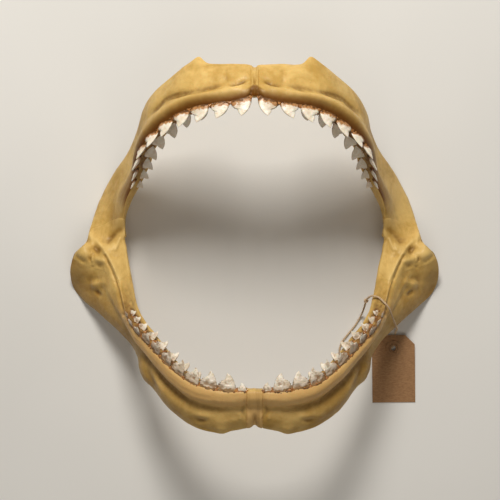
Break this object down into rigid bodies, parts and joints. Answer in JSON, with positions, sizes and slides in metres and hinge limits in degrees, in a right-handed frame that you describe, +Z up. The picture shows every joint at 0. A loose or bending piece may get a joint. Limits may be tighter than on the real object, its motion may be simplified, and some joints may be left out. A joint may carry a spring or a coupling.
{
  "type": "shark jaw",
  "caption": "Dried jaw of a tiger shark with its teeth, lying on its back with the gape open upwards, and a blank card tag tied on with twine.",
  "frame": {"origin": "middle of the jaw's box, on the surface that the jaw lies on", "axes": "+Z up out of the gape, +Y towards the upper jaw, +X towards the animal's left"},
  "size_m": [0.348, 0.3327, 0.1551],
  "materials": {
    "cartilage": "satin",
    "ligament": "satin",
    "tooth": "satin",
    "gum": "matte",
    "card": "matte",
    "twine": "matte"
  },
  "bodies": {
    "root": {"upper_jaw_left": "cartilage", "upper_jaw_right": "cartilage", "lower_jaw_left": "cartilage", "lower_jaw_right": "cartilage", "joint_strap_left": "ligament", "joint_strap_right": "ligament", "upper_symphysis": "ligament", "lower_symphysis": "ligament", "tag": "card", "twine": "twine", "twine_knot": "twine"}
  },
  "joints": []
}
